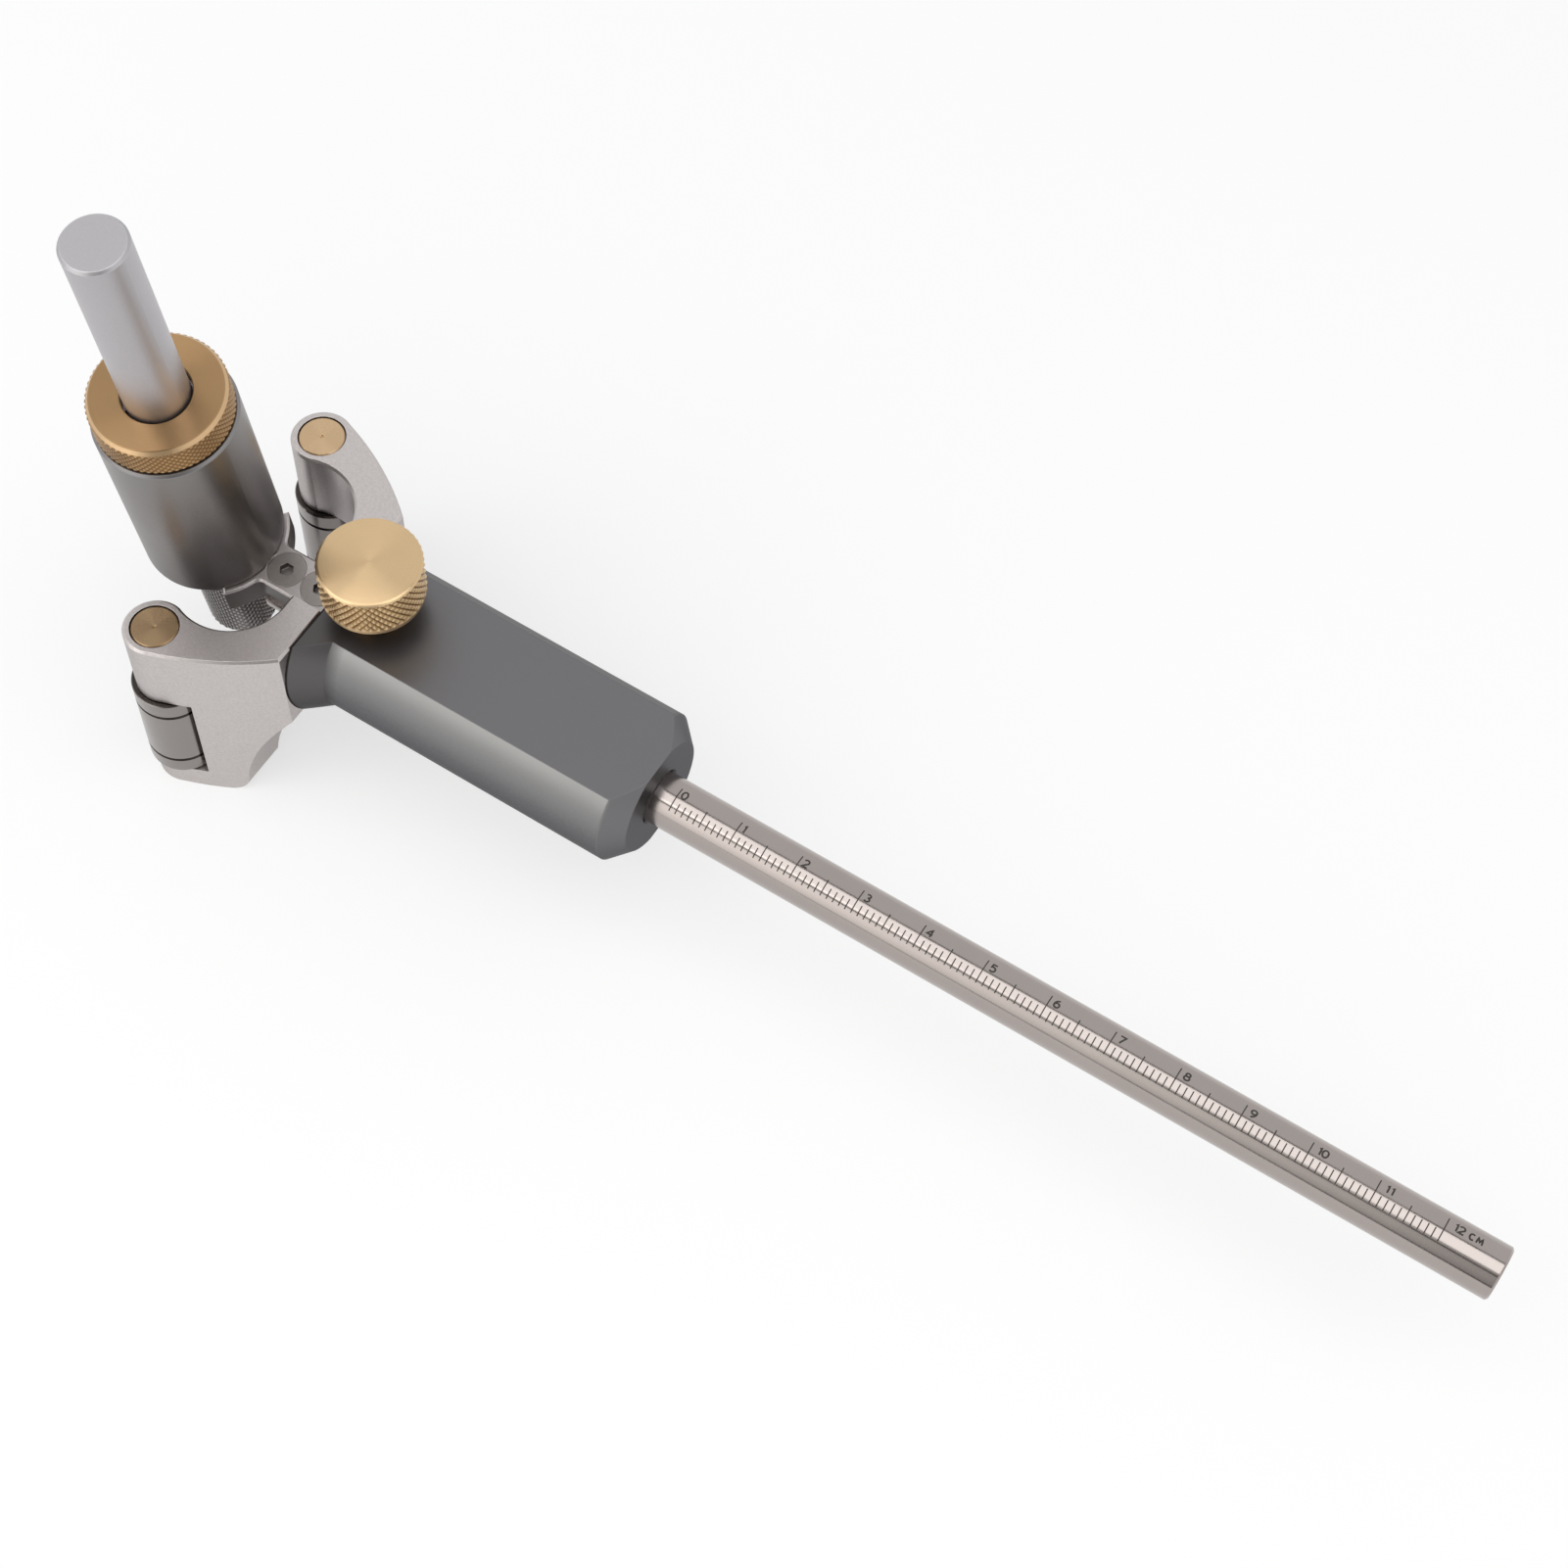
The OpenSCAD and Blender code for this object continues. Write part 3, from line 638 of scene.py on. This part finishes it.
def stage():
    white_world()
    # What a card lets through of a light where it is darkest
    dim = 0.1
    whole = [("X", -1, 1, dim, dim)]
    # The overhead light runs along the picture's width and has dark edges
    yaw = math.radians(23)
    across = Vector((-math.sin(yaw), math.cos(yaw), 0))
    middle = Vector((-0.07, -0.24, 1.15))
    softbox("overhead", middle, (0, 0, yaw), (2.2, 0.8), 1.22)
    cards = [
        card("frame_far", (2.3, 0.12), middle + across * 0.46, (0, 0, yaw), whole),
        card("frame_near", (2.3, 0.13), (-0.05, -0.625, 0.8), (0, 0, 0), whole),
    ]
    # The side light fades to the right and downwards, and stands on a dark edge
    lean = (math.radians(51.4), 0, 0)
    upright = (math.radians(90), 0, 0)
    side = (2.4, 1.44)
    softbox("side", (0.0, -1.03, 0.63), lean, side, 0.96, (1.0, 0.985, 0.95))
    fades = [("X", -0.2, 0.32, 1.0, dim), ("Y", -0.72, 0.0, 0.7, 1.0)]
    foot = [("X", -0.3, 0.2, 1.0, dim)]
    cards += [
        card("side_fade", side, (0.0, -1.022, 0.624), lean, fades),
        card("side_foot", (2.6, 0.14), (0.0, -1.3, 0.052), upright, foot),
    ]
    white_floor()
    bpy.context.scene.view_settings.view_transform = "Standard"


# ---------------------------------------------------------------- build
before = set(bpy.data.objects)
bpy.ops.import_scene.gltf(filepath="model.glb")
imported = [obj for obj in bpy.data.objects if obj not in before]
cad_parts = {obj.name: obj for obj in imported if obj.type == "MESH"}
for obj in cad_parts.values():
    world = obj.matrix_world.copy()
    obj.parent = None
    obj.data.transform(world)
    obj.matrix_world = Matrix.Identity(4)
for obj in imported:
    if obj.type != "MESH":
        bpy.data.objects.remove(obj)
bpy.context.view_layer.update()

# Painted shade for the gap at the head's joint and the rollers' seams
GAP_SHADE = (0.03, 0.026, 0.024)
ANODISED = (0.182, 0.179, 0.185)
# Handle: painted highlight on the flank under the edge of the upper flat, painted shade on the
# neck, and a line of painted shade in the joint at the head
anodised = blasted(
    "anodised_grey", ANODISED, 0.38, depth=0.016, spread=0.16, worn=(0.5, 0.49, 0.48),
    radius=0.16, Specular_Tint=(0.45, 0.45, 0.46, 1),
    bands=[
        ("Z", 17.0, 0.4, 6.6, (0.29, 0.288, 0.283)), ("Z", 17.0, 0.03, 0.03, ANODISED),
        ("X", 27.0, 2.2, 0.6, ANODISED),
        ("X", -27.5, 4.6, 2.2, (0.125, 0.12, 0.12)), ("X", -27.5, 0.2, 0.1, GAP_SHADE),
    ],
)
head = blasted(
    "blasted_aluminium", (0.585, 0.546, 0.535), 0.36, depth=0.02, spread=0.18,
    worn=(0.88, 0.84, 0.82), radius=0.1, Specular_Tint=(0.72, 0.72, 0.72, 1),
)
# Lug: painted shade on the side wall below its bevelled edge
lug = blasted(
    "satin_aluminium", (0.56, 0.52, 0.51), 0.34, worn=(0.9, 0.87, 0.85), radius=0.08,
    bands=[("Z", 2.6, 2.85, 0.2, (0.15, 0.137, 0.132))],
)
# Tube: painted shade on the foot, painted light on the upper part, and a bright rim
tube = blasted(
    "anodised_tube", (0.205, 0.191, 0.186), 0.36, matrix=PENCIL,
    bands=[
        ("Z", 6.0, 1.0, 12.0, (0.125, 0.112, 0.107)),
        ("Z", 39.0, 2.0, 7.0, (0.225, 0.215, 0.21)), ("Z", 39.0, 0.6, 0.1, (0.26, 0.25, 0.25)),
    ],
)
steel = turned("turned_steel", (0.29, 0.272, 0.262), 0.2)
# Rollers: painted shade in the seams above and below the sleeve and on the upper ring's top face
rollers = turned(
    "roller_steel", (0.27, 0.248, 0.238), 0.2,
    bands=[
        ("Z", 0.35, 0.3, 0.06, GAP_SHADE), ("Z", -11.75, 0.3, 0.06, GAP_SHADE),
        ("Z", 4.5, 1.0, 0.06, (0.06, 0.052, 0.048)),
    ],
)
# Screws: painted shade at the bottom of the hex socket
screws = blasted(
    "hardened_screw", (0.36, 0.335, 0.315), 0.32, matrix=ROD,
    bands=[("Z", 5.3, 0.45, 0.12, (0.05, 0.042, 0.038))],
)
# Pins: two copies of one brass, the left darker as painted shade, the right lighter as painted
# light
brass_left_painted_shade = turned("brass_pin_left_painted_shade", (0.4, 0.275, 0.16), 0.28, LEFT_PIN, anisotropy=0.85)
brass_right_painted_light = turned("brass_pin_right_painted_light", (0.62, 0.44, 0.265), 0.28, RIGHT_PIN, anisotropy=0.85)
# Knob: painted shade in the knurl's grooves
brass_knob = turned(
    "brass_knob", (0.7, 0.505, 0.29), 0.28, anisotropy=0.85, bevel=0,
    groove_shade=(7.35, 7.68, 19.85, (0.25, 0.14, 0.05)),
)
brass_collar = turned("brass_collar", (0.385, 0.24, 0.12), 0.3, bevel=0)
# Knurled collar: painted highlight on the bevel, painted shade in the knurl's grooves
knurl_collar = turned(
    "brass_collar_knurl", (0.425, 0.265, 0.132), 0.3, anisotropy=0.85, bevel=0,
    groove_shade=(9.72, 9.98, 43.4, (0.15, 0.075, 0.026)),
    bands=[("Z", 43.79, 0.24, 0.06, (0.66, 0.45, 0.255))],
)
rod = turned(
    "ground_rod", (0.395, 0.352, 0.332), 0.16, ROD @ turn_about("Y", 90), anisotropy=0.5,
    axis="X",
)
barrel = blasted(
    "satin_barrel", (0.475, 0.46, 0.477), 0.42, spread=0.05, worn=(0.85, 0.85, 0.86), radius=0.2,
)
# Grip: painted shade in the knurl's grooves; the band keeps that shade off the nose cone
grip = turned(
    "knurled_steel", (0.36, 0.34, 0.335), 0.3, bevel=0,
    groove_shade=(5.17, 5.42, 0.0, (0.07, 0.062, 0.058)),
    bands=[("Z", -21.2, 4.6, 0.05, (0.3, 0.285, 0.28))],
)
graphite = blasted("graphite", (0.06, 0.06, 0.065), 0.45, metallic=0.3)
marks = blasted("blackened_marks", (0.03, 0.025, 0.022), 0.6, metallic=0.0)

paint(anodised, "body")
paint(head, "fence_head")
paint(screws, "head_screws", "lug_screws", "lock_screw")
paint(brass_left_painted_shade, "left_axle")
paint(brass_right_painted_light, "right_axle")
paint(steel, *both("inner_rings", "spacer", "ball_set"), "collet")
paint(rollers, *both("sleeve", "outer_rings"))
paint(brass_collar, *both("cages"), "clamp_pad", "lead_chuck")
paint(rod, "scale_rod")
paint(lug, "rod_lug")
paint(tube, "holder_tube")
paint(barrel, "pencil_barrel")
paint(graphite, "lead")

knob = knurled(
    "knurled_knob", KNOB, brass_knob, "knob",
    below=[
        (2.5, 15.0), (2.5, 8.9), (4.6, 8.9), (4.6, 12.8), (7.3, 12.8), (7.55, 13.0), (7.58, 13.7),
    ],
    band=(7.7, 13.85, 19.8, 8),
    above=[(7.62, 19.88), (7.5, 20.1), (7.32, 20.24), (7.15, 20.3)],
    count=42, depth=0.36, closed=False,
)
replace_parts(knob, "lock_knob")
collar = knurled(
    "knurled_collar", PENCIL, knurl_collar, "collar",
    below=[(8.65, 42.5), (8.65, 39.2), (9.7, 39.2), (9.85, 39.35)],
    band=(10.0, 39.5, 43.35, 8),
    above=[(9.82, 43.5), (9.4, 44.08), (9.3, 44.2), (5.15, 44.2), (5.0, 44.05), (5.0, 42.5)],
    count=64, depth=0.26, closed=True,
)
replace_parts(collar, "clamp_collar")
nut = knurled(
    "knurled_grip", PENCIL, grip, "grip",
    below=[
        (3.45, -1.1), (3.45, -9.3), (2.6, -9.3), (2.6, -20.9), (1.3, -23.4), (1.3, -25.6),
        (2.0, -25.6), (5.05, -16.7), (5.3, -16.55),
    ],
    band=(5.45, -16.4, -1.5, 28),
    above=[(5.3, -1.35), (5.15, -1.1)],
    count=32, depth=0.27, closed=True,
)
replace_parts(nut, "grip_nut")
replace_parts(lug_piece(lug), "rod_lug")
scale_marks(marks)

camera()
stage()
